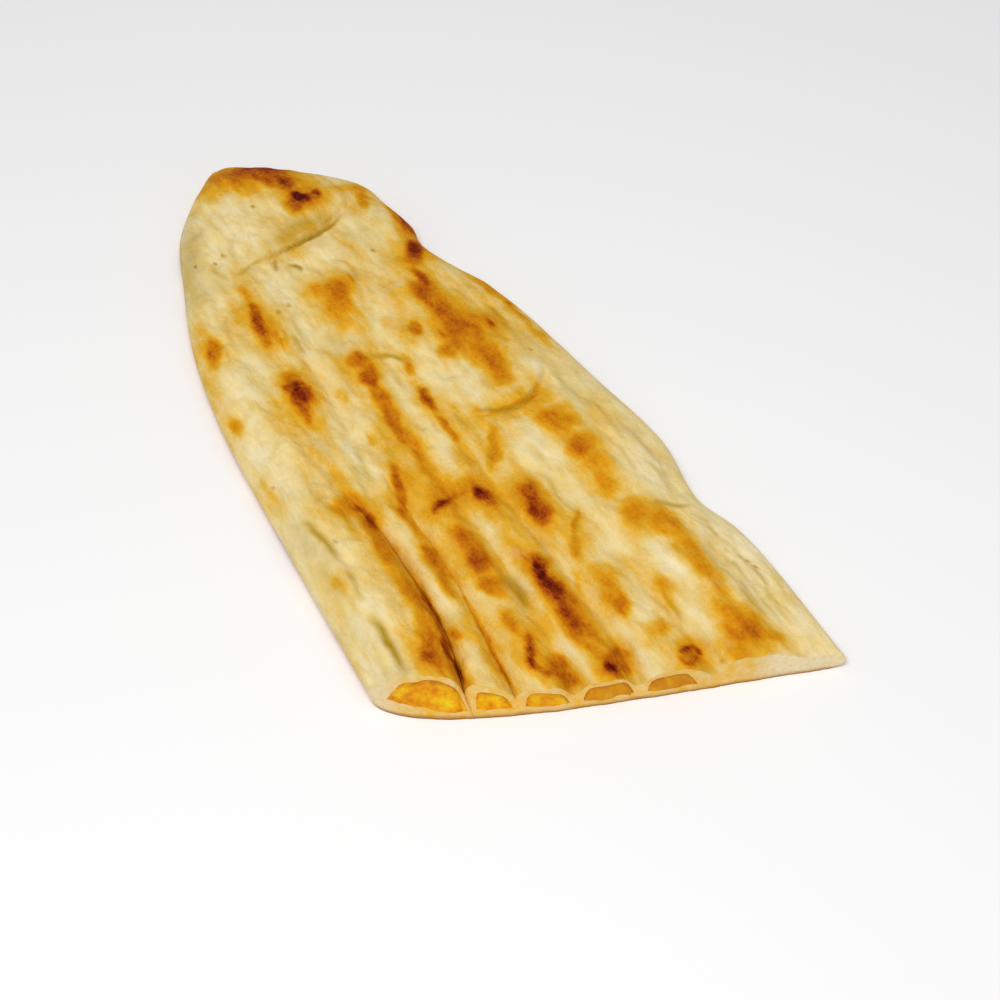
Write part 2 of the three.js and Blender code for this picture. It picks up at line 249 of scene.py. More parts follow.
def on_ellipse(x, y, along, across, half_length, half_width, turn):
    """The squared distance from an ellipse's middle, 1 on the ellipse."""
    angle = np.radians(turn)
    dx, dy = x - along, y - across
    a = (dx * np.cos(angle) + dy * np.sin(angle)) / half_length
    b = (dy * np.cos(angle) - dx * np.sin(angle)) / half_width
    return a * a + b * b


CLOUD_OCTAVES = 3
OCTAVE_FALL = 1.0
OCTAVE_STEP = 2.0


def cloud(x, y, size, layer, octaves=CLOUD_OCTAVES):
    """Soft noise about zero, with lumps of about the given size in millimetres, others on each layer."""
    spots = zip((x / size).ravel(), (y / size).ravel())
    values = [noise.fractal((a, b, layer), OCTAVE_FALL, OCTAVE_STEP, octaves) for a, b in spots]
    return np.array(values).reshape(x.shape)


# Fine wrinkles of the skin: half width and depth, then the places that each passes
WRINKLES = [
    # the tip's fold and what runs out of it
    (0.9, 0.75, (51, -13), (50.5, -3), (49.9, 6), (48.2, 14), (44.6, 20)),
    (0.8, 0.5, (51, -9.6), (54, -11.4), (57.4, -12.8)),
    (1, 0.3, (51, -11), (50, -16), (51, -21), (52, -26)), (4.2, 0.34, (44.5, 15), (44, 4), (46.5, -9)),
    (2.2, 0.28, (50.4, -15), (49.6, -4), (48.6, 7)),
    (0.8, 0.75, (56.6, -8.6), (58.6, -6.6), (61.4, -5.4)),
    (0.7, 0.3, (61, 1), (62.5, 5), (66, 8), (71, 8.5), (77, 7.6)),
    (0.8, 0.2, (78, 8), (81, 8.5), (84, 8)),
    # the near side of the tip
    (4.5, 0.25, (22, -25), (38, -35), (62, -45)), (1.2, 0.16, (34, -17), (40, -20), (47, -22)),
    (1.2, 0.16, (42, -29), (47, -29.6), (54, -28)),
    # the near side up to the rolls
    (0.8, 0.25, (75, -18), (85, -20.5), (96, -22)), (0.9, 0.45, (83, -22), (89, -23.3), (95, -23.6)),
    (0.9, 0.5, (105, -6.2), (109.5, -0.6), (114.6, 4)), (0.7, 0.2, (65, -36), (70, -38.5), (75, -39)),
    (0.9, 0.2, (130, -19), (140, -21), (151, -24.5)), (0.9, 0.2, (132, -28), (142, -31), (153, -34)),
    (0.9, 0.28, (139, -33), (150, -36), (161, -37.6)), (1.2, 0.55, (150, -57), (160, -56), (173, -55.3)),
    (1.1, 0.35, (173, -55.3), (180, -56), (187, -57)),
    (1.5, 0.6, (191, -57.4), (203, -58.8), (218, -61.2)),
    (0.8, 0.25, (149, -45), (147.5, -48), (147.5, -51.5)),
    # the middle
    (1.1, 0.7, (143, 9), (147.4, 16), (148.6, 23), (145.5, 31)),
    (1.6, 0.6, (200, -17.6), (208, -18), (217, -19.6)), (1.0, 0.3, (152, 9.5), (158, 5), (166, -1)),
    (0.9, 0.35, (191, 14.5), (198, 9), (206, 3.5)), (0.8, 0.25, (175, 13), (185, 11.5), (196, 12.5)),
    (0.8, 0.22, (136, 5), (141, 3.5), (148, 3.5)), (0.8, 0.35, (228, 17.5), (236, 16.8), (245, 15)),
    # the far rim
    (0.7, 0.32, (106, 36.5), (113, 37.2), (122, 36.8)),
    (0.7, 0.22, (138, 38.4), (152, 38.8), (166, 40.4)), (0.7, 0.2, (155, 41), (166, 41.6), (182, 40.6)),
    (0.7, 0.22, (170, 44), (185, 45), (201, 42.6)), (0.7, 0.25, (184, 41), (195, 42), (207, 40.3)),
    (0.7, 0.2, (170, 37), (182, 37.6), (196, 37)),
    (0.5, 0.36, (205, 40.3), (212, 41.8), (221, 43), (231.5, 43.5), (240.5, 44.6), (251.5, 43.2),
     (268, 43)),
    (0.5, 0.3, (209, 39.4), (217, 41.2), (227, 41.3), (240.5, 40.4), (253.5, 39.7), (268, 38.6)),
    (0.6, 0.17, (222, 39.2), (236, 39), (248, 37.6), (262, 36.6)),
    (0.6, 0.17, (236, 42.4), (248, 41.8), (266, 40.6)),
    (0.9, 0.42, (210.4, 44.2), (207.5, 39.3), (203.9, 35.9), (201.8, 31.9)),
    # small pits, darkened with painted shade
    (0.8, 0.6, (26.8, -4.6), (27.6, -4.6)), (0.8, 0.55, (41.4, -24), (42.2, -24)),
    (0.7, 0.5, (43.2, -28), (44, -28)), (0.8, 0.6, (40.6, -33.8), (41.4, -33.8)),
    (0.8, 0.6, (65.6, 18.4), (66.4, 18.4)), (0.8, 0.5, (71.6, -16.8), (72.6, -16.8)),
    (0.8, 0.5, (72.6, -20.8), (73.6, -20.8)), (0.8, 0.65, (76.1, -43.6), (76.9, -43.6)),
    (0.8, 0.6, (130, 37.8), (130.8, 37.8)), (0.7, 0.6, (238.8, 45.2), (239.8, 45.2)),
    (0.6, 0.5, (235.6, 44.6), (236.4, 44.6)), (0.8, 0.55, (261.6, 17), (262.4, 17)),
    (0.8, 0.45, (163.4, -53.2), (164.8, -53.2)), (0.7, 0.45, (135.6, -58.4), (136.4, -58.4)),
]
WRINKLE_STEPS = 8
WRINKLE_REACH = 3
WRINKLE_FADE = 1.6
WRINKLE_WANDER = 0.7
WRINKLE_WANDER_SIZE = 6
WRINKLE_LAYERS = (11.5, 13.5)
READ_LEVEL = 9
SIGHT_LEAN = np.array([0.679, -0.441])


def as_read(place, height):
    """The place on a level sheet at READ_LEVEL that a slanting line of sight shows over each point of the
    skin. Marks and wrinkles were read off that sheet."""
    return place - SIGHT_LEAN * (height - READ_LEVEL)[..., None]


def wrinkled(seen):
    """How deep the fine wrinkles are at each place as read, in millimetres."""
    x, y = seen[..., 0], seen[..., 1]
    wander = [WRINKLE_WANDER * cloud(x, y, WRINKLE_WANDER_SIZE, layer) for layer in WRINKLE_LAYERS]
    at = seen + np.stack(wander, -1)
    deepest = np.zeros(at.shape[:-1])
    for half_width, depth, *path in WRINKLES:
        line = smooth_curve(path)[:: CURVE_STEPS // WRINKLE_STEPS]
        margin = WRINKLE_REACH * half_width
        close = np.all((at > line.min(0) - margin) & (at < line.max(0) + margin), axis=-1)
        middle = (line[0] + line[-1]) / 2
        reach = np.linalg.norm(line[-1] - line[0]) / 2 + half_width
        fading = ease(WRINKLE_FADE * (1 - np.linalg.norm(at[close] - middle, axis=-1) / reach))
        groove = depth * fading * hill((line_distance(at[close], line) / half_width) ** 2)
        deepest[close] = np.maximum(deepest[close], groove)
    return deepest


# Scorch marks where the skin rose nearest to the oven's roof, and painted shade in the two deepest creases,
# at the ledge's drop and in the tip's fold: along, across, half length, half width, turn in degrees, and how
# far the skin is baked, from 0 to 1
SCORCH_AND_SHADE_MARKS = [
    # the tip
    (16, 6.5, 9.5, 4.4, 38, 0.69), (23, 10, 3.5, 2.6, 5, 0.68), (9, 1, 3.5, 4, 50, 0.62),
    (12, 8, 8, 1.8, 45, 0.64), (12, -6, 6, 6.5, -35, 0.57), (15, -13, 5, 4.4, -40, 0.49),
    (17, -1, 5, 6, 0, 0.4), (30.8, 10.6, 2.7, 1.7, 12, 1), (33, 12, 2.6, 2.4, 0, 0.84),
    (32.5, 16.5, 1.8, 1.6, 0, 0.86), (35, 15.5, 1.2, 1.5, 0, 0.6), (34, 8.6, 3.6, 3.2, -20, 0.58),
    (34.5, 10, 4.4, 5.6, 0, 0.46), (33, 5, 3, 1.8, 0, 0.38), (33, 23, 1, 5, -15, 0.34),
    (39, 29, 5, 1.8, -15, 0.46), (44, 27.6, 3.4, 1.8, 0, 0.56), (36, 26, 1.6, 3, -20, 0.34),
    (58, 33.4, 8, 1.5, 0, 0.56), (59.5, 36.4, 6, 1.8, 0, 0.62), (61, 34.6, 6, 0.9, 0, 0.66),
    (72.5, 30, 4.2, 2.8, -10, 0.76), (75, 28.5, 5, 3.4, -20, 0.62), (64, 14, 6, 3, 15, 0.2),
    # the first of these: painted shade along the tip's fold
    (46, 4, 3.4, 9, 5, 0.22), (55, -10, 6, 5, 0, 0.07),
    # the far side up to the ledge
    (85, 25.2, 6, 1.7, 0, 0.62), (101, 22.5, 8, 4, 5, 0.57), (110, 21, 8, 4.4, -10, 0.52),
    (117, 15.5, 3.2, 4.2, 25, 0.6), (103.2, 11.6, 3.2, 2.2, 0, 0.72), (112, 26.5, 9, 3.4, 0, 0.5),
    (122, 27, 9, 3.2, 0, 0.38), (131, 25, 6, 3.2, -10, 0.46), (136, 23, 4, 3, 0, 0.4),
    (126, 22, 7, 2.6, 0, 0.3), (90, 21, 5, 3.2, 0, 0.53), (95, 23.4, 8, 5, 0, 0.53),
    (114.5, 32.3, 3.4, 1, 5, 0.66), (112, 24, 21, 7, 0, 0.47), (100, 40.5, 8, 1.4, 15, 0.44),
    (112, 42.6, 10, 1, 3, 0.42), (127, 43, 10, 1.2, 6, 0.32), (111, 43.2, 1.2, 0.8, 0, 0.6),
    # from (143, 9.6) to (145.8, 30): the ledge's edge, browned and darkened with painted shade where it
    # drops
    (113, 36.8, 6, 0.7, 0, 0.44), (143, 9.6, 1.4, 1, 0, 0.44), (147.4, 16.5, 1.1, 5, -10, 0.66),
    (148.2, 24, 1.1, 4.5, 8, 0.62), (145.8, 30, 0.9, 3, 30, 0.42), (145, 20, 3, 8, 0, 0.3),
    (151, 22, 2.6, 7, 0, 0.36),
    # the far side past the ledge
    (159.5, 29, 4.8, 5.4, 10, 0.56), (161.5, 33, 3.4, 2.6, 0, 0.64), (156, 26, 3.6, 3, 0, 0.5),
    (172.4, 29.2, 4, 4.4, 0, 0.62), (173, 25.6, 3.4, 2.6, 0, 0.58), (169, 30, 2, 3.6, 0, 0.5),
    (181, 29.6, 5, 3, 0, 0.46), (188, 27, 4.2, 3.2, 0, 0.48), (191, 25, 3, 2.4, 0, 0.4),
    (172, 29.5, 20, 6, 0, 0.36), (155, 8.4, 5, 1.8, -25, 0.52), (161, 5, 4, 2.2, -30, 0.54),
    (165, 1.4, 2.5, 1.6, -30, 0.42), (180, 5, 4.4, 2.8, -5, 0.64), (187, 4, 5, 3.4, -5, 0.76),
    (184, 4, 10, 4.4, -5, 0.46), (176.5, 7.5, 3, 1.6, 0, 0.44), (196.6, 10.8, 4.6, 0.8, -38, 0.54),
    (205, 4.6, 4, 1.4, -35, 0.44), (217, 6.6, 4.6, 3.4, 0, 0.53), (224, 5, 6.4, 3.6, -10, 0.55),
    (229, 4.2, 3.6, 2, -12, 0.63), (212, -0.6, 3, 1.2, 0, 0.44), (217, -2.2, 4, 1, -15, 0.46),
    (241.5, 8.2, 3.4, 3, 0, 0.44), (247, 5, 4, 2.6, 0, 0.34), (229.6, 19.4, 4.4, 2.8, 0, 0.57),
    (227, 21, 2.4, 1.2, 10, 0.4), (236, 16.4, 6, 0.8, -6, 0.56), (233, 17.4, 3, 1.4, -10, 0.44),
    (203.5, 28, 4.8, 5.4, 20, 0.56), (211, 32.2, 5.6, 5.2, 35, 0.69), (214.5, 36.6, 4.4, 1.6, 10, 0.66),
    (219, 34.4, 6, 3.2, 0, 0.68), (228, 33, 6, 3.4, -5, 0.57), (237, 32.5, 6, 2.8, -8, 0.4),
    (222, 32, 15, 5, 0, 0.42), (209, 29, 7, 6.5, 15, 0.44), (249.5, 29.4, 4.4, 3, 0, 0.48),
    (254.5, 25.4, 4.6, 2.4, -10, 0.6), (257, 31, 5, 3, 0, 0.55), (262.5, 34.8, 3, 1.8, 10, 0.56),
    (251, 33.6, 4, 1.6, 0, 0.46), (245, 28, 3, 2, 0, 0.5), (262, 22, 4, 4, 0, 0.47),
    (258, 19, 6, 4, 0, 0.4), (255, 29.5, 9, 5, 8, 0.36),
    # a ring round a small blister
    (252.4, 10.4, 1.1, 2.6, 0, 0.9), (254.8, 12.8, 2.2, 1.1, 0, 0.86), (257.2, 10, 1.1, 2.2, 0, 0.72),
    (254.8, 7.4, 2.2, 1.1, 0, 0.78), (254.6, 10.2, 1.6, 1.6, 0, 0.4),
    # the middle
    (73.5, 5.8, 3.4, 0.8, 0, 0.52), (75, 0, 4.6, 4.8, -10, 0.52), (81, -3.8, 6.5, 4, -22, 0.61),
    (87, -6.4, 4.6, 3, -15, 0.6), (72.5, -5.4, 3.4, 3, 0, 0.46), (104.5, -11, 2.8, 3.4, 20, 0.69),
    (108, -9, 4, 1.8, 0, 0.66), (113.2, -11.2, 4.4, 3.2, 0, 0.76), (122, -12.4, 7, 3, -6, 0.53),
    (132, -14, 7, 2.8, -8, 0.6), (139, -15, 4.5, 2.4, 0, 0.54), (120, -12, 17, 4, -8, 0.26),
    (107.7, -2.6, 2.4, 1.2, 40, 0.32), (113, 3, 2.5, 1.2, 0, 0.28), (117.5, 0.8, 3.2, 1.6, -20, 0.52),
    (131, -0.8, 5, 1.8, -3, 0.76), (144, -2.4, 7, 1.2, -6, 0.6), (137, 4.5, 3, 1.4, 20, 0.28),
    (115.5, -22.3, 3.2, 1.6, 0, 0.42), (136.5, -24, 2.6, 1.8, 0, 0.34), (88, 7.6, 4, 1.2, 0, 0.2),
    (96, 5.6, 2.2, 1.8, 0, 0.22),
    # the middle rolls
    (146, -14, 8, 2.2, -15, 0.5), (155, -16, 7, 2.8, -10, 0.42), (163, -13, 3.6, 4.4, 0, 0.42),
    (153, -25.8, 6, 1.8, -14, 0.66), (158.5, -28, 4.5, 1.7, -18, 0.62), (164, -30.6, 4, 1.4, -20, 0.5),
    (172, -31.4, 6, 1.4, 0, 0.48), (183, -32.8, 4.6, 2.2, -8, 0.66), (190, -33.8, 6, 1.7, -6, 0.6),
    (197, -35.5, 4.6, 1.6, -8, 0.62), (171.3, -7.2, 3.2, 2.2, 0, 0.8), (174, -7, 4.6, 2.8, 0, 0.56),
    (166, -9, 2.6, 3.6, 0, 0.5), (168.4, -19.6, 1.7, 3, 15, 0.76), (170, -22.4, 2, 1.2, -20, 0.62),
    (168, -13, 1.8, 4, 0, 0.5), (183, -20.6, 4.6, 2.8, 0, 0.56), (193, -22, 4.6, 3.2, 0, 0.64),
    (189, -19.5, 4, 2, 0, 0.56), (203, -23.4, 4.4, 2.8, 0, 0.58), (215, -25.6, 4, 1.7, 0, 0.5),
    (219, -26.4, 3, 1.4, 0, 0.46), (205.6, -8.8, 3, 1.7, -22, 1), (203, -6.8, 3, 2.2, 0, 0.7),
    (209.5, -10, 3.2, 2, 0, 0.78), (212, -8, 4, 2.6, 0, 0.68), (219, -10.4, 15, 4.4, -6, 0.63),
    (226, -12, 8, 3.6, -4, 0.67), (214, -10.6, 5, 3.4, -5, 0.72), (236, -12, 5, 1.9, 0, 0.54),
    (232, -8.5, 6, 1.5, 0, 0.5), (241, -6.2, 1.8, 1.6, 0, 0.72), (243.5, -5, 2.4, 1.2, 0, 0.62),
    (244.8, -10.6, 2.3, 2.1, 0, 0.8), (248, -9.6, 3, 2.8, 0, 0.68), (244, -8.4, 4.4, 3.4, 0, 0.64),
    (225.5, -25.8, 3, 1.6, -20, 0.7), (229, -27, 3, 1.6, -15, 0.78), (232, -28.2, 2, 1.5, 0, 0.88),
    (236, -27, 3, 1.5, 10, 0.66), (238, -23.2, 5, 2.8, 4, 0.66), (243, -23, 3.6, 2.4, 0, 0.66),
    # from (205, -32.8) on: a dark line along the second crease, browned and darkened with painted shade
    (236, -21, 3, 1.2, 0, 0.6), (211.8, -41.2, 2.4, 1.6, 0, 0.82), (205, -32.8, 8, 0.6, -8, 0.4),
    (216, -35, 8, 0.7, -8, 0.46), (229, -37.4, 8, 0.8, -10, 0.54),
    # the near side
    (61.5, -26, 4.5, 1.7, 0, 0.44), (68, -26.8, 3.4, 1.6, -10, 0.64), (75.5, -29.3, 6.5, 2.4, -9, 0.76),
    (82, -31, 4, 1.5, -15, 0.56), (84, -27.4, 4.5, 1.2, 0, 0.46), (77.5, -46.8, 4.4, 2.5, -25, 0.7),
    (73.5, -44.5, 2.4, 2, 0, 0.5), (82, -49.5, 3, 1.7, -20, 0.5), (66, -44.6, 5, 2.2, -10, 0.28),
    (107, -31.4, 6, 2, -4, 0.74), (109, -33.6, 7, 2.3, -12, 0.72), (102.4, -35, 2.2, 0.9, -10, 0.78),
    (116, -35.6, 3.4, 1.9, -10, 0.6), (109, -33.4, 10, 4.2, -10, 0.4), (120.5, -36.5, 3, 1.5, 0, 0.4),
    (99, -32, 2, 2, 0, 0.48), (109, -56.5, 3.8, 2.1, 0, 0.48), (137, -60.5, 4.5, 1.3, 0, 0.28),
    (178.3, -60.4, 3.2, 1.9, 0, 0.44),
    # the thick roll and the deep shade beside it
    (161, -40, 4, 1.1, -4, 0.74), (157, -41, 2.5, 1.3, 20, 0.6), (165, -41, 3, 1.2, 0, 0.6),
    (154, -44, 4.6, 4, 0, 0.48), (155, -39, 5, 1.5, 10, 0.44), (170, -42.5, 9, 2.3, 0, 0.5),
    (184, -43.5, 11, 2.6, -2, 0.42), (196, -44.8, 10, 3.2, -6, 0.52), (207, -47.4, 9, 3, -10, 0.46),
    (212, -50.6, 4.8, 2, -8, 0.69), (208, -49.4, 3.4, 2, 0, 0.58), (218, -50.6, 3.4, 1.7, -12, 0.5),
    (197, -41.6, 5, 0.9, -8, 0.84), (205, -43.4, 6, 1, -13, 0.78), (214, -45.9, 6, 1, -15, 0.8),
    (223, -48.3, 5, 1, -15, 0.84),
    # broad golden ground between the rolls
    (172, -12, 30, 12, -6, 0.34), (220, -12, 36, 15, -4, 0.23), (224, 6, 24, 7, -4, 0.18),
    (120, -12, 24, 7, -6, 0.16), (228, 31, 26, 6, 0, 0.2), (195, -44, 40, 4.5, -6, 0.2),
    (128, -41, 28, 7, -4, 0.25), (185, 18, 24, 8, 0, 0.16), (220, 19, 12, 6, 0, 0.3),
    (50, -6, 7, 7, 0, 0.22),
]

# Paler patches in that ground: along, across, half length, half width, turn and how far they clear it
PALE_PATCHES = [
    (151, -8, 7, 2.2, -10, 0.75), (188, -13.5, 8, 2, 0, 0.6), (208, -14.4, 8, 1.6, 0, 0.55),
    (223, 25.4, 10, 3.4, -10, 0.8), (208, 20.5, 6, 5, 0, 0.3), (256, 17.5, 7, 3, 0, 0.25),
    (253, 1, 4, 4, 0, 0.4), (233, -17, 9, 1.8, -8, 0.5), (166, 17, 14, 4, 0, 0.6),
    (236, -33, 5, 2, 0, 0.5), (222, -43, 9, 2.2, -15, 0.4), (203, -40, 6, 1.2, -12, 0.25),
    (137, -30, 8, 4, 0, 0.3), (243, 20.4, 6, 3.4, 0, 0.7), (127, -6.5, 9, 2, -6, 0.6),
    (211, 10, 6, 2.4, -30, 0.5), (146, -31, 7, 2.4, -8, 0.5), (231, 10.4, 6, 2, -6, 0.7),
    (206, -2, 5, 2, 0, 0.75), (65, -22, 4, 2, -10, 0.5), (172, -36.4, 14, 1.9, -2, 0.5),
    (190, -37.6, 12, 1.8, -4, 0.65), (132, 11.5, 9, 4, 0, 0.8), (180, 39, 30, 4, 3, 0.6),
    (240, 41, 24, 4, 0, 0.85), (126, 6, 7, 2.6, 0, 0.5), (240, 0, 6, 3, 0, 0.5),
    (21, -16, 6, 8, -40, 0.4), (36, -30, 14, 6, -38, 0.7), (54, -40, 10, 4, -28, 0.7),
    (162, -60, 16, 3.5, -6, 0.12), (200, -63, 14, 3, -6, 0.6), (142, -54, 10, 5, -6, 0.5),
    (125, -53, 12, 4.5, -6, 0.45), (44, -12, 7, 6, 0, 0.3), (112, -22, 7, 4.5, 0, 0.35),
    (60, 22, 7, 5, 0, 0.3), (92, -10, 8, 5, 0, 0.5), (95, -48, 12, 5, -12, 0.3),
]

# Dull olive patches of painted shade on the flanks, the far rim and in broad hollows: along, across, half
# length, half width, turn and strength
SALLOW_SHADE_PATCHES = [
    (34, -31, 16, 5, -36, 0.3), (166, -61, 22, 3.6, -5, 0.55), (205, -65, 18, 3, -6, 0.2),
    (60, 17, 8, 6, 0, 0.3), (190, 44, 40, 4, 0, 0.15), (240, 42, 26, 4, 0, 0.15),
    (130, 39, 20, 3, 8, 0.35), (146, -50, 10, 5, 0, 0.2), (157, 38, 10, 4, 0, 0.35),
    (52, -30, 6, 9, 0, 0.25), (88, -38, 14, 5, -14, 0.25), (66, -10, 9, 5, 0, 0.12),
    (93, -14, 9, 5, -8, 0.25),
]
MARK_FALL = 0.4
MARK_BLEND = 4
MARK_FLATNESS = 1.9
MARK_STRENGTH = 0.93
HALO = 0.5
HALO_RIM = 3
PALE_DROP = 0.03
SMUDGE = 1.2
SMUDGE_SIZE = 7
SMUDGE_LAYERS = (3.5, 9.5)


def browning(seen):
    """How far the top is baked at each place as read, from 0 to 1, with the marks of painted shade among it.
    """
    x, y = seen[..., 0], seen[..., 1]
    sx = x + SMUDGE * cloud(x, y, SMUDGE_SIZE, SMUDGE_LAYERS[0])
    sy = y + SMUDGE * cloud(x, y, SMUDGE_SIZE, SMUDGE_LAYERS[1])
    total = np.zeros_like(x)
    for *place, half_length, half_width, turn, level in SCORCH_AND_SHADE_MARKS:
        off = on_ellipse(sx, sy, *place, half_length, half_width, turn)
        core = level * hill(MARK_FALL * off**MARK_FLATNESS)
        around = on_ellipse(sx, sy, *place, half_length + HALO_RIM, half_width + HALO_RIM, turn)
        halo = HALO * level * hill(MARK_FALL * around)
        total += core**MARK_BLEND + halo**MARK_BLEND
    baked = np.minimum(MARK_STRENGTH * total ** (1 / MARK_BLEND), 1)
    for *ellipse, clearing in PALE_PATCHES:
        clear = clearing * hill(MARK_FALL * on_ellipse(sx, sy, *ellipse))
        baked -= clear * (baked + PALE_DROP)
    return baked


def sallow_shade(seen):
    """How much painted shade dulls the skin to olive at each place as read, from 0 to 1."""
    most = np.zeros(seen.shape[:-1])
    for *ellipse, strength in SALLOW_SHADE_PATCHES:
        most = np.maximum(most, strength * hill(on_ellipse(seen[..., 0], seen[..., 1], *ellipse)))
    return most


# Fine relief of the skin: slow undulation, ripples, long puffs, and blisters where it is browned
UNDULATION = 0.9
UNDULATION_SIZE = 13
UNDULATION_LAYER = 1.5
RIPPLE = 0.4
RIPPLE_SIZE = 3.2
RIPPLE_STRETCH = 0.5
RIPPLE_LAYER = 5.5
PUFF = 1.3
PUFF_SIZE = 7
PUFF_STRETCH = 0.5
PUFF_LEVEL = 0.2
PUFF_SEAM = 0.05
PUFF_LAYER = 15.5
PUFF_OCTAVES = 2
BLISTER = 0.7
DEEPEST_RELIEF = 0.8


def puffs(x, y):
    """Soft long puffs of the skin, 0 on the sharp lines between them."""
    return np.abs(cloud(PUFF_STRETCH * x, y, PUFF_SIZE, PUFF_LAYER, PUFF_OCTAVES))


def top_height(place, relief):
    """The height of the top skin, with or without its fine relief."""
    x, y = place[..., 0], place[..., 1]
    full = BODY + fold_lift(x, y)
    for *ellipse, rise, turn in HILLS:
        full = full + rise * hill(on_ellipse(x, y, *ellipse, turn))
    full += (PRESSED - full) * pressed_share(x, y)
    rounded = shoulder(line_distance(place, near_line), NEAR_SHOULDER)
    rounded *= shoulder(line_distance(place, far_line), FAR_SHOULDER)
    height = RIM_HEIGHT + (full - RIM_HEIGHT) * rounded
    if relief:
        seen = as_read(place, height)
        fine = UNDULATION * cloud(x, y, UNDULATION_SIZE, UNDULATION_LAYER)
        fine += RIPPLE * cloud(RIPPLE_STRETCH * x, y, RIPPLE_SIZE, RIPPLE_LAYER)
        fine += PUFF * (puffs(x, y) - PUFF_LEVEL) + BLISTER * browning(seen) - wrinkled(seen)
        height += np.maximum(fine, -DEEPEST_RELIEF) * rounded
    return height


def base_height(place):
    """The height of the base, flat on the table and rounded up at the edge."""
    edge = np.minimum(line_distance(place, near_line), line_distance(place, far_line))
    return RIM_HEIGHT * (1 - shoulder(edge, FOOT))


# Its crust is pale cream skin, golden to dark brown where it was scorched, matte and dry, with a fine grain
# and painted shade in its hollows.
# The crumb shows at the cut, pale and porous, and soaked with fat round the filling


def srgb(red, green, blue):
    """A colour as it looks, in steps of 0 to 255, in the linear values that shaders take."""
    shares = [step / 255 for step in (red, green, blue)]
    return (*[((c + 0.055) / 1.055) ** 2.4 if c > 0.04 else c / 12.92 for c in shares], 1)


class Tone:
    """A socket in a material's node tree. Sums and products of it add Math nodes."""

    def __init__(self, socket):
        self.socket = socket

    def node(self, kind, settings, sockets, out=0):
        """A new node in the same tree: its settings first, then the values or links of its sockets."""
        tree = self.socket.id_data
        made = tree.nodes.new(kind)
        stops = settings.pop("stops", [])
        for name, value in settings.items():
            setattr(made, name, value)
        for index, (at, colour) in enumerate(stops):
            stop = made.color_ramp.elements[index] if index < 2 else made.color_ramp.elements.new(at)
            stop.position, stop.color = at, colour
        for name, value in sockets.items():
            if isinstance(value, Tone):
                tree.links.new(value.socket, made.inputs[name])
            else:
                made.inputs[name].default_value = value
        return Tone(made.outputs[out])

    def math(self, operation, first, second):
        return self.node("ShaderNodeMath", {"operation": operation}, {0: first, 1: second})

    def __add__(self, other):
        return self.math("ADD", self, other)

    __radd__ = __add__

    def __sub__(self, other):
        return self.math("SUBTRACT", self, other)

    def __rsub__(self, other):
        return self.math("SUBTRACT", other, self)

    def __mul__(self, other):
        return self.math("MULTIPLY", self, other)

    __rmul__ = __mul__

    def clamped(self):
        return self.node("ShaderNodeClamp", {}, {"Value": self})

    def mix(self, first, second):
        """The first colour where this is 0, and the second where it is 1."""
        return self.node("ShaderNodeMix", {"data_type": "RGBA"}, {0: self, 6: first, 7: second}, 2)

    def speckle(self, size, detail, roughness=0.55):
        """Noise from 0 to 1 with lumps of about the given size in millimetres, where this is the place."""
        sockets = {"Vector": self, "Scale": 1 / (size * MM), "Detail": detail, "Roughness": roughness}
        return self.node("ShaderNodeTexNoise", {}, sockets)

    def attribute(self, name):
        return self.node("ShaderNodeAttribute", {"attribute_name": name}, {}, "Fac")

    def bump(self, height, strength):
        """A normal from this height, which is a share of the given height in millimetres."""
        sockets = {"Height": self, "Distance": height * MM, "Strength": strength}
        return self.node("ShaderNodeBump", {}, sockets)


def finish(name, uniform):
    """A new material with values that are the same all over, its shader, and the place on the surface."""
    material = bpy.data.materials.new(name)
    material.use_nodes = True
    shader = material.node_tree.nodes["Principled BSDF"]
    for socket, value in uniform.items():
        shader.inputs[socket].default_value = value
    place = Tone(material.node_tree.nodes.new("ShaderNodeTexCoord").outputs["Object"])
    return material, shader, place


def connect(shader, **tones):
    """Links tones to the shader's sockets, whose names have spaces for underscores."""
    for name, tone in tones.items():
        shader.id_data.links.new(tone.socket, shader.inputs[name.replace("_", " ")])


CRUST_COLOURS = [
    (0.0, srgb(240, 226, 184)), (0.18, srgb(234, 207, 136)), (0.36, srgb(225, 172, 48)),
    (0.5, srgb(216, 147, 17)), (0.64, srgb(197, 115, 9)), (0.78, srgb(165, 76, 7)),
    (0.89, srgb(128, 42, 5)), (1.0, srgb(84, 14, 3)),
]
HOLLOW_SHADE_COLOUR = srgb(174, 138, 28)
OLIVE_COLOUR = srgb(206, 178, 92)
SALLOW_SHADE_COLOUR = srgb(190, 170, 104)
CREAM_COLOUR = srgb(243, 226, 190)
DOUGH_SPECULAR = 0.05
CRUST_ROUGHNESS = 0.82
BAKED_GLOSS = 0.25
STREAK_TURN = (0, 0, 0.1)
STREAK_SCALE = (0.3, 1, 1)

# Noise over the crust: the size of its lumps, its detail and, where it isn't the usual one, its roughness
GRAIN = (1.1, 4.0, 0.6)
MOTTLE = (3.2, 3.0, 0.6)
WASH = (18, 2.0)
LONG_WASH = (5.5, 4.0, 0.6)
STREAKS = (2.6, 3.0)
CREAM_PATCHES = (7, 3.0)
DULL_PATCHES = (4, 3.0)
LONG_SHEEN = (4, 3.0, 0.6)
SHEEN = (3.2, 3.0, 0.6)
SKIN_FINE = (0.7, 3.0)
SKIN_COARSE = (3.0, 2.0)

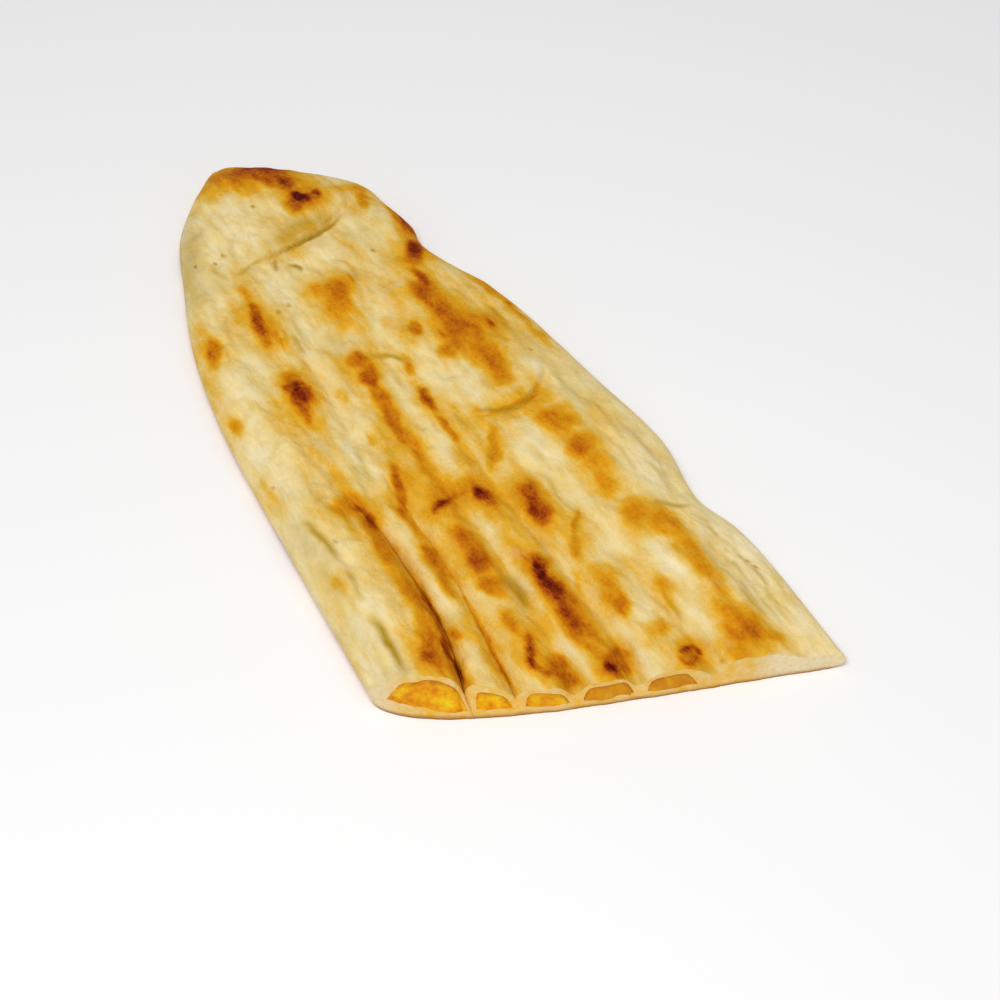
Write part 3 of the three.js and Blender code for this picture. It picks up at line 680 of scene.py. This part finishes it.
# How much of each goes into the colour steps, the colours over them, and the brightness
BAKED_PLAIN = 0.54
BAKED_GRAIN = 0.36
BAKED_MOTTLE = 0.6
WASH_SHARE = 0.3
LONG_WASH_SHARE = 0.55
WASH_LEVEL = 0.32
GROUND_GRAIN = 0.12
NOISE_MIDDLE = 0.5
PALE_FALL = 2.6
STREAK_CONTRAST, STREAK_LEVEL, STREAK_SHARE = 3.2, 1.6, 0.55
CREAM_CONTRAST, CREAM_LEVEL, CREAM_SHARE = 4, 2.2, 0.5
DULL_PLAIN, DULL_PATCHED = 0.4, 1.2
BRIGHTNESS = 0.835
LONG_SHEEN_SHARE = 0.3
SHEEN_SHARE = 0.1
BAKED_SPARKLE = 0.25
BAKED_DARKENS = 0.125
SKIN_FINE_SHARE = 0.6
CRUST_BUMP = (0.5, 0.9)


def crust_finish():
    material, shader, place = finish("baked_crust", {"Specular IOR Level": DOUGH_SPECULAR})
    # browning also holds the painted shade in the two deepest creases, at the ledge's drop and in the tip's
    # fold
    baked = place.attribute("browning")
    grain = place.speckle(*GRAIN)
    turned = {"Vector": place, "Rotation": STREAK_TURN, "Scale": STREAK_SCALE}
    lengthwise = place.node("ShaderNodeMapping", {}, turned)
    wash = place.speckle(*WASH) * WASH_SHARE + lengthwise.speckle(*LONG_WASH) * LONG_WASH_SHARE
    level = baked * (BAKED_PLAIN + BAKED_GRAIN * grain + BAKED_MOTTLE * place.speckle(*MOTTLE))
    level = level + wash - WASH_LEVEL + GROUND_GRAIN * (grain - NOISE_MIDDLE)
    ramp = level.node("ShaderNodeValToRGB", {"stops": CRUST_COLOURS}, {"Fac": level})
    pale = (1 - baked * PALE_FALL).clamped()
    streaks = (lengthwise.speckle(*STREAKS) * STREAK_CONTRAST - STREAK_LEVEL).clamped()
    patches = (place.speckle(*CREAM_PATCHES) * CREAM_CONTRAST - CREAM_LEVEL).clamped()
    colour = (streaks * pale * STREAK_SHARE).mix(ramp, OLIVE_COLOUR)
    colour = (patches * pale * CREAM_SHARE).mix(colour, CREAM_COLOUR)
    # Painted shade: dull olive patches on the flanks, the far rim and in broad hollows
    dull_shade = place.attribute("sallow_shade") * (DULL_PLAIN + DULL_PATCHED * place.speckle(*DULL_PATCHES)) * pale
    colour = dull_shade.clamped().mix(colour, SALLOW_SHADE_COLOUR)
    # Painted shade: the colour turns a darker olive in creases, wrinkles, pits and the seams between puffs,
    # where the skin isn't browned
    colour = (place.attribute("hollow_shade") * (1 - baked)).clamped().mix(colour, HOLLOW_SHADE_COLOUR)
    # The brightness: paler and darker streaks and patches, partly floury skin and partly the painted shade
    # of fine relief, with painted glints in the grain where it is browned
    sheen = lengthwise.speckle(*LONG_SHEEN) * LONG_SHEEN_SHARE + place.speckle(*SHEEN) * SHEEN_SHARE
    brightness = BRIGHTNESS + (sheen + grain * BAKED_SPARKLE * baked) - BAKED_DARKENS * baked
    colour = colour.node("ShaderNodeVectorMath", {"operation": "SCALE"}, {0: colour, "Scale": brightness})
    skin = place.speckle(*SKIN_FINE) * SKIN_FINE_SHARE + place.speckle(*SKIN_COARSE) * (1 - SKIN_FINE_SHARE)
    roughness = CRUST_ROUGHNESS - BAKED_GLOSS * baked
    connect(shader, Base_Color=colour, Roughness=roughness, Normal=skin.bump(*CRUST_BUMP))
    return material


CRUMB_COLOURS = [(0.0, srgb(222, 184, 112)), (0.45, srgb(238, 217, 170)), (1.0, srgb(246, 232, 200))]
SOAKED_COLOUR = srgb(238, 184, 60)
UNDERSIDE_COLOUR = srgb(150, 88, 24)
CRUMB_ROUGHNESS = 0.85
PORES = (1.3, 4.0, 0.65)
SOAKED_PATCHES = (3.5, 3.0)
SOAKED_CONTRAST, SOAKED_LEVEL = 1.5, 0.05
CRUMB_BUMP = (0.6, 0.7)


def crumb_finish():
    uniform = {"Specular IOR Level": DOUGH_SPECULAR, "Roughness": CRUMB_ROUGHNESS}
    material, shader, place = finish("crumb", uniform)
    pores = place.speckle(*PORES)
    colour = pores.node("ShaderNodeValToRGB", {"stops": CRUMB_COLOURS}, {"Fac": pores})
    soaked = place.attribute("soaked") * (SOAKED_CONTRAST * place.speckle(*SOAKED_PATCHES) - SOAKED_LEVEL)
    colour = soaked.clamped().mix(colour, SOAKED_COLOUR)
    colour = place.attribute("underside").mix(colour, UNDERSIDE_COLOUR)
    connect(shader, Base_Color=colour, Normal=pores.bump(*CRUMB_BUMP))
    return material


crust_materials = [crust_finish(), crumb_finish()]

# Its mesh is a fine grid over the top, with columns that follow the creases, a coarser one under the base,
# and the cut face between them. The room for the filling is then cut out through that face
ROWS = 380
ROW_SAMPLES = 10
HALVINGS = 24
FOLD_ROWS = [(0.242, 0.035), (0.588, 0.022)]
FOLD_CROWDING = 1.8
ROLL_COLUMNS = [46, 18, 22, 22, 24, 44]
EDGE_CROWDING = 0.6
CREASES_PART_AT = 0.55
BASE_EDGE_COLUMNS = 8
BASE_STEP = 6
CUT_STEPS = 8
CRUMB_RELIEF = 0.14
CRUMB_SIZE = 1.6
CRUMB_LAYER = 2.5


def crease_shares(u):
    """For each row, the share of the width at which each crease crosses it, found by halving."""
    row = np.clip(u, CREASES_PART_AT, 1)
    edges = [np.zeros_like(row)]
    for path in [crease[:3] for crease in CREASES]:
        low, high = np.zeros_like(row), np.ones_like(row)
        for halving in range(HALVINGS):
            t = (low + high) / 2
            place = plan(row, t, 1)
            short = place[..., 1] < crease_line(path, place[..., 0])
            low, high = np.where(short, t, low), np.where(short, high, t)
        edges.append(low)
    return edges + [np.ones_like(row)]


def top_shares(u):
    """Shares across each row, some on every crease's line and crowded towards it."""
    edges = crease_shares(u)
    columns = [edges[0]]
    for count, first, last in zip(ROLL_COLUMNS, edges[:-1], edges[1:]):
        for step in range(1, count + 1):
            even = step / count
            crowded = 0.5 - 0.5 * np.cos(np.pi * even)
            columns.append(first + (last - first) * (even + EDGE_CROWDING * (crowded - even)))
    return np.stack(columns, -1)


def ring(ids):
    """A face's corners without repeats, or nothing if fewer than three are left."""
    corners = list(dict.fromkeys(ids))
    return [corners] if len(corners) > 2 else []


def grid_faces(ids, upwards):
    """The faces between the rows and columns of a sheet of corner numbers."""
    order = (0, 1, 2, 3) if upwards else (3, 2, 1, 0)
    corners = np.stack([ids[:-1, :-1], ids[1:, :-1], ids[1:, 1:], ids[:-1, 1:]], -1).reshape(-1, 4)
    return [face for quad in corners[:, order].tolist() for face in ring(quad)]


def mesh_piece(name, points, faces, slots, materials):
    """A mesh object from points in millimetres on the bread, without the points that no face uses."""
    used = sorted({corner for face in faces for corner in face})
    renumber = {old: new for new, old in enumerate(used)}
    mesh = bpy.data.meshes.new(name)
    places = (points[used] + shift) * MM
    mesh.from_pydata(places.tolist(), [], [[renumber[corner] for corner in face] for face in faces])
    for material in materials:
        mesh.materials.append(material)
    mesh.polygons.foreach_set("material_index", slots)
    mesh.update()
    piece = bpy.data.objects.new(name, mesh)
    bpy.context.scene.collection.objects.link(piece)
    return piece


def lofted(name, top, base, cut, base_columns, materials):
    """A closed body from a top sheet, a base sheet on some of its columns, and the rows of its cut end."""
    rows, columns = top.shape[:2]
    top_ids = np.arange(rows * columns).reshape(rows, columns)
    cut_ids = np.arange(cut.shape[0] * columns).reshape(-1, columns) + top_ids.size
    base_ids = np.arange(base.shape[0] * base.shape[1]).reshape(base.shape[:2])
    base_ids += top_ids.size + cut_ids.size
    top_ids[0, :] = top_ids[0, 0]
    base_ids[:, 0], base_ids[:, -1] = top_ids[:, 0], top_ids[:, -1]
    base_ids[0, :] = top_ids[0, 0]
    cut_ids[0] = top_ids[-1]
    cut_ids[:, 0], cut_ids[:, -1] = top_ids[-1, 0], top_ids[-1, -1]
    skin = grid_faces(top_ids, True) + grid_faces(base_ids[:-1], False)
    before = base_ids[-2]
    for left in range(len(base_columns) - 1):
        edge = cut_ids[-1, base_columns[left] : base_columns[left + 1] + 1].tolist()
        skin += ring([before[left], before[left + 1], *reversed(edge)])
    end = grid_faces(cut_ids, True)
    points = np.vstack([top.reshape(-1, 3), cut.reshape(-1, 3), base.reshape(-1, 3)])
    return mesh_piece(name, points, skin + end, [0] * len(skin) + [1] * len(end), materials)


def raised(place, height):
    """Points in space over places on the table."""
    return np.concatenate([place, height[..., None]], -1)


even_shares = np.linspace(0, 1, ROW_SAMPLES * ROWS)
crowding = 1 + FOLD_CROWDING * sum(hill(((even_shares - at) / reach) ** 2) for at, reach in FOLD_ROWS)
crowded_walk = np.cumsum(crowding) - crowding[0]
row_shares = np.interp(np.linspace(0, 1, ROWS + 1), crowded_walk / crowded_walk[-1], even_shares)
share_across = top_shares(row_shares)
last_column = share_across.shape[1]
near_edge = range(BASE_EDGE_COLUMNS)
far_edge = range(last_column - BASE_EDGE_COLUMNS, last_column)
base_columns = sorted({*near_edge, *range(BASE_EDGE_COLUMNS, last_column, BASE_STEP), *far_edge})
top_place = plan(row_shares[:, None], share_across, 1)
top_sheet = raised(top_place, top_height(top_place, True))
base_place = plan(row_shares[:, None], share_across[:, base_columns], 0)
base_sheet = raised(base_place, base_height(base_place))

cut_top = top_sheet[-1, :, 2]
cut_base = base_height(plan(np.ones(1), share_across[-1], 0))
depth = np.linspace(0, 1, CUT_STEPS + 1)[:, None]
cut_place = plan(np.ones((1, 1)), np.repeat(share_across[-1:], CUT_STEPS + 1, 0), 1 - depth)
cut_height = cut_base + (cut_top - cut_base) * (1 - depth)
cut_place[..., 0] += CRUMB_RELIEF * cloud(cut_place[..., 1], cut_height, CRUMB_SIZE, CRUMB_LAYER)
cut_sheet = raised(cut_place, cut_height)
dough = lofted("baked_dough", top_sheet, base_sheet, cut_sheet, base_columns, crust_materials)

# Room for the filling, under a skin of dough and over a floor of it
SKIN = 1.5
SKIN_SPREAD = 0.3
SKIN_WAVES = 43
CREASE_WALL = 8
WALL_REACH = 1.8
FLOOR = 2.2
FILLING_GAP = 0.1
FILLING_START = 0.17
FILLING_NEAR = -0.025
FILLING_NEAR_TAPER = 0.085
FILLING_FAR_AT_TIP = 0.84
FILLING_FAR_AT_CUT = 0.69
FILLING_TAPER = 0.05
FILLING_SINK = 9
NEAR_RAMP_FROM = -55
NEAR_RAMP = 0.22
FILLING_RECESS = 0.3
ROOM_STEP = 5
MOUTH_OVERRUN = 1.04
recess_share = 1 - FILLING_RECESS / length


def past(over, taper=FILLING_TAPER):
    """0 well inside a limit, rising over the taper to 1 at it and past it."""
    return ease(over / taper + 1)


def walled_share(x, y):
    """How much of a crease's wall stands under a place, from 0 to 1."""
    most = np.zeros_like(x)
    for *path, near_reach, far_reach, sharp, midway, at_cut in CREASES:
        beside = hill(((y - crease_line(path, x)) / WALL_REACH) ** 2)
        most = np.maximum(most, crease_depth(path, midway, at_cut, x) ** 2 * beside)
    return most


def room_under_skin(name, rows, gap, cut_relief, materials):
    """The closed space under the skin over the given row shares, made smaller by the gap."""
    across = top_shares(rows)
    u = rows[:, None]
    skin = plan(u, across, 1)
    skin_height = top_height(skin, False)
    far = FILLING_FAR_AT_TIP + (FILLING_FAR_AT_CUT - FILLING_FAR_AT_TIP) * np.minimum(u, 1)
    outside = np.maximum(past(FILLING_NEAR - across, FILLING_NEAR_TAPER), past(across - far))
    outside = np.maximum(outside, past(FILLING_START - u))
    x, y = skin[..., 0], skin[..., 1]
    thickness = SKIN + SKIN_SPREAD * np.sin(SKIN_WAVES * across)
    thickness = thickness + CREASE_WALL * walled_share(x, y) + np.abs(fold_lift(x, y))
    height = skin_height - thickness - gap - FILLING_SINK * outside
    bottom = FLOOR - FILLING_SINK
    height[0], height[:, 0], height[:, -1] = bottom, bottom, bottom
    top = raised(plan(u, across, height / skin_height), height)
    base = raised(plan(u, across, bottom / skin_height), np.full_like(height, bottom))
    depth = np.linspace(0, 1, len(cut_relief))[:, None]
    cut_height = height[-1] + (bottom - height[-1]) * depth
    cut_place = plan(u[-1:], np.repeat(across[-1:], len(depth), 0), cut_height / skin_height[-1])
    cut = raised(cut_place, cut_height)
    cut[..., 0] += cut_relief
    room = lofted(name, top, base, cut, list(range(across.shape[1])), materials)
    slab = mesh_piece(name + "_slab", *slab_above(FLOOR + gap), materials)
    return combined(room, slab, "INTERSECT")


def slab_above(height):
    """A block over the whole bread, from the given height up, whose underside rises under the near roll."""
    reach = 2 * length
    ramp_top = height + NEAR_RAMP * (reach + NEAR_RAMP_FROM)
    underside = [(-reach, ramp_top), (NEAR_RAMP_FROM, height), (reach, height)]
    profile = [*underside, (reach, 2 * reach), (-reach, 2 * reach)]
    points = np.array([(x, y, z) for x in (-reach, reach) for y, z in profile])
    count = len(profile)
    faces = [list(reversed(range(count))), list(range(count, 2 * count))]
    faces += [[i, (i + 1) % count, (i + 1) % count + count, i + count] for i in range(count)]
    return points, faces, [0] * len(faces)


def combined(piece, other, operation):
    """The piece after a Boolean with the other one, which goes away."""
    change = piece.modifiers.new("combine", "BOOLEAN")
    change.operation = operation
    change.solver = "MANIFOLD"
    change.object = other
    bpy.context.view_layer.update()
    evaluated = piece.evaluated_get(bpy.context.evaluated_depsgraph_get())
    mesh = bpy.data.meshes.new_from_object(evaluated)
    piece.modifiers.remove(change)
    old = piece.data
    piece.data = mesh
    bpy.data.meshes.remove(old)
    bpy.data.objects.remove(other)
    return piece


inside = (row_shares > FILLING_START - FILLING_TAPER) & (row_shares < recess_share)
filling_rows = np.append(row_shares[inside][::ROOM_STEP], recess_share)
room_rows = np.append(filling_rows, MOUTH_OVERRUN)
level_mouth = np.zeros((2, 1))
room = room_under_skin("room", room_rows, 0, level_mouth, crust_materials)
room.data.polygons.foreach_set("material_index", [1] * len(room.data.polygons))

# What its materials read: how far it is baked, painted shade in its hollows and olive patches, and where the
# crumb is soaked or underneath
BASE_BROWN = 0.42
BASE_BROWN_SPREAD = 0.45
BASE_PATCH_SIZE = 16
BASE_LAYER = 7.5
CREASE_SHADE = 0.45
WRINKLE_SHADE = 1.75
PUFF_SEAM_SHADE = 0.11
SOAKED_FROM = -72
SOAKED_TO = 32
SOAKED_RUN = 9
UNDERSIDE_CRUST = 0.8


def store(mesh, values):
    """Keeps a value at each point of a mesh under each name, for the material to read."""
    for name, value in values.items():
        mesh.attributes.new(name, "FLOAT", "POINT").data.foreach_set("value", value.astype(np.float32))


def paint_dough(piece):
    """Stores what the crust and the crumb read at each point of the dough."""
    mesh = piece.data
    flat = np.empty(len(mesh.vertices) * 3)
    mesh.vertices.foreach_get("co", flat)
    point = flat.reshape(-1, 3) / MM - shift
    x, y, z = point.T
    half_rim = RIM_HEIGHT / 2
    upper = ease((z - half_rim) / half_rim)
    under = BASE_BROWN + BASE_BROWN_SPREAD * cloud(x, y, BASE_PATCH_SIZE, BASE_LAYER)
    seen = as_read(point[:, :2], z)
    baked = upper * browning(seen) + (1 - upper) * under
    # Painted shade in the creases, the wrinkles and pits, and the seams between puffs
    seam_shade = PUFF_SEAM_SHADE * hill((puffs(x, y) / PUFF_SEAM) ** 2)
    hollow_shade = upper * (CREASE_SHADE * pressed_share(x, y) ** 2 + WRINKLE_SHADE * wrinkled(seen) + seam_shade)
    soaked = ease(np.minimum(SOAKED_TO - y, y - SOAKED_FROM) / SOAKED_RUN)
    store(mesh, {"browning": baked, "hollow_shade": hollow_shade, "soaked": soaked})
    store(mesh, {"sallow_shade": upper * sallow_shade(seen), "underside": hill((z / UNDERSIDE_CRUST) ** 2)})


SHARP_EDGE = np.radians(50)


def finished(piece, node):
    """Smooths a piece except at its sharp edges, and sets it in the frame."""
    piece.data.shade_smooth()
    piece.data.set_sharp_from_angle(angle=SHARP_EDGE)
    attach(piece, "root")
    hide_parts(node)


dough = combined(dough, room, "DIFFERENCE")
paint_dough(dough)
finished(dough, "dough")

# The filling
# Melted yellow cheese that fills the rolls between the creases and shows at the cut, stuck to the dough all
# round. Its cut face is lumpy where the knife dragged it, and lies just inside the cut.
CHEESE_COLOURS = [
    (0.28, srgb(198, 106, 0)), (0.43, srgb(231, 150, 0)), (0.55, srgb(239, 178, 4)),
    (0.7, srgb(247, 206, 32)),
]
STAIN_AND_SHADE_COLOUR = srgb(176, 100, 4)
STAIN_AND_SHADE_REACH = 1.1
TOASTED_CHEESE = srgb(200, 122, 4)
TOASTED_FROM = -38
TOASTED_RUN = 30
CHEESE_SPECULAR = 0.12
CHEESE_ROUGHNESS = 0.4

# Noise in the cheese, as in the crust, and how it breaks up the toasted parts and the darkening under the
# skin
CURD = (4.0, 4.0, 0.6)
TOASTED_PATCHES = (3.0, 3.0)
TOASTED_PLAIN, TOASTED_PATCHED = 0.1, 1.2
STAIN_AND_SHADE_PATCHES = (2.4, 3.0)
STAIN_AND_SHADE_CONTRAST, STAIN_AND_SHADE_LEVEL = 1.6, 0.2
CURD_LUMPS = (1.5, 3.0)
CHEESE_BUMP = (0.5, 0.5)


def cheese_finish():
    uniform = {"Specular IOR Level": CHEESE_SPECULAR, "Roughness": CHEESE_ROUGHNESS}
    material, shader, place = finish("melted_cheese", uniform)
    curd = place.speckle(*CURD)
    colour = curd.node("ShaderNodeValToRGB", {"stops": CHEESE_COLOURS}, {"Fac": curd})
    patched = TOASTED_PLAIN + TOASTED_PATCHED * place.speckle(*TOASTED_PATCHES)
    toasted = place.attribute("browning") * patched
    colour = toasted.clamped().mix(colour, TOASTED_CHEESE)
    # Darker just under the skin above: cheese browned against the crust, and painted shade under the
    # overhanging skin
    stained_and_shaded = place.attribute("stained_and_shaded") * (STAIN_AND_SHADE_CONTRAST * place.speckle(*STAIN_AND_SHADE_PATCHES) - STAIN_AND_SHADE_LEVEL)
    colour = stained_and_shaded.clamped().mix(colour, STAIN_AND_SHADE_COLOUR)
    connect(shader, Base_Color=colour, Normal=place.speckle(*CURD_LUMPS).bump(*CHEESE_BUMP))
    return material


FACE_STEPS = 24
FACE_LUMP = 0.7
FACE_LUMP_SIZE = 3.2
FACE_LAYER = 4.5
face_across = top_shares(filling_rows[-1:])[0]
face_place = plan(filling_rows[-1:, None], face_across[None], 1)[0]
face_y = np.repeat(face_place[None, :, 1], FACE_STEPS, 0)
face_height = np.repeat(np.linspace(1, 0, FACE_STEPS)[:, None] * BODY, len(face_across), 1)
face_relief = FACE_LUMP * cloud(face_y, face_height, FACE_LUMP_SIZE, FACE_LAYER)
face_relief[0] = 0
cheese = cheese_finish()
filling = room_under_skin("cheese_filling", filling_rows, FILLING_GAP, face_relief, [cheese, cheese])
filling.data.polygons.foreach_set("material_index", [0] * len(filling.data.polygons))
at = np.array([vertex.co for vertex in filling.data.vertices]) / MM - shift
ceiling = top_height(at[:, :2], False) - SKIN - CREASE_WALL * walled_share(at[:, 0], at[:, 1])
store(filling.data, {"browning": ease((at[:, 1] - TOASTED_FROM) / TOASTED_RUN)})
# Browning and painted shade just under the skin above, falling off below it
store(filling.data, {"stained_and_shaded": hill(((ceiling - at[:, 2]) / STAIN_AND_SHADE_REACH) ** 2)})
finished(filling, "filling")

# The table and light
# A plain pale floor under the bread, lit by a broad soft lamp high over the camera's side and by an even
# sky. The camera looks down on the cut end from the near side.
TABLE_REACH = 3.0
TABLE_COLOUR = srgb(250, 250, 250)
TABLE_ROUGHNESS = 0.9
TABLE_SPECULAR = 0.1
table_mesh = bpy.data.meshes.new("table")
corners = [(TABLE_REACH * x, TABLE_REACH * y, 0) for x, y in ((-1, -1), (1, -1), (1, 1), (-1, 1))]
table_mesh.from_pydata(corners, [], [(0, 1, 2, 3)])
table = bpy.data.objects.new("table", table_mesh)
bpy.context.scene.collection.objects.link(table)
matte = {"Roughness": TABLE_ROUGHNESS, "Specular IOR Level": TABLE_SPECULAR}
table_mesh.materials.append(finish("pale_table", {"Base Color": TABLE_COLOUR, **matte})[0])

CAMERA_ELEVATION = np.radians(51)
CAMERA_AZIMUTH = np.radians(57)
CAMERA_LENS = 85
CAMERA_SENSOR = 36
CAMERA_DISTANCE = 0.7198
AIM_ALONG = 170.94
aim = Vector(((AIM_ALONG + shift[0]) * MM, shift[1] * MM, 0))
level_back = Vector((np.sin(CAMERA_AZIMUTH), -np.cos(CAMERA_AZIMUTH), 0))
to_right = Vector((np.cos(CAMERA_AZIMUTH), np.sin(CAMERA_AZIMUTH), 0))
up = Vector((0, 0, 1))
back = level_back * np.cos(CAMERA_ELEVATION) + up * np.sin(CAMERA_ELEVATION)
camera_data = bpy.data.cameras.new("camera")
camera_data.lens = CAMERA_LENS
camera_data.sensor_width = CAMERA_SENSOR
camera = bpy.data.objects.new("camera", camera_data)
camera.location = aim + back * CAMERA_DISTANCE
camera.rotation_euler = (-back).to_track_quat("-Z", "Y").to_euler()
bpy.context.scene.collection.objects.link(camera)
bpy.context.scene.camera = camera

KEY_POWER = 6.7
KEY_SIZE = 0.6
KEY_DISTANCE = 1.0
KEY_TO_LEFT = 0.1
KEY_TO_FRONT = 0.4
SKY_STRENGTH = 0.41
key_data = bpy.data.lights.new("key", "AREA")
key_data.energy = KEY_POWER
key_data.size = KEY_SIZE
key = bpy.data.objects.new("key", key_data)
towards_key = (up - to_right * KEY_TO_LEFT + level_back * KEY_TO_FRONT).normalized()
key.location = aim + towards_key * KEY_DISTANCE
key.rotation_euler = (-towards_key).to_track_quat("-Z", "Y").to_euler()
bpy.context.scene.collection.objects.link(key)
sky = bpy.data.worlds.new("sky")
sky.use_nodes = True
sky_glow = sky.node_tree.nodes["Background"]
sky_glow.inputs["Color"].default_value = (1, 1, 1, 1)
sky_glow.inputs["Strength"].default_value = SKY_STRENGTH
bpy.context.scene.world = sky
bpy.context.scene.view_settings.view_transform = "Standard"
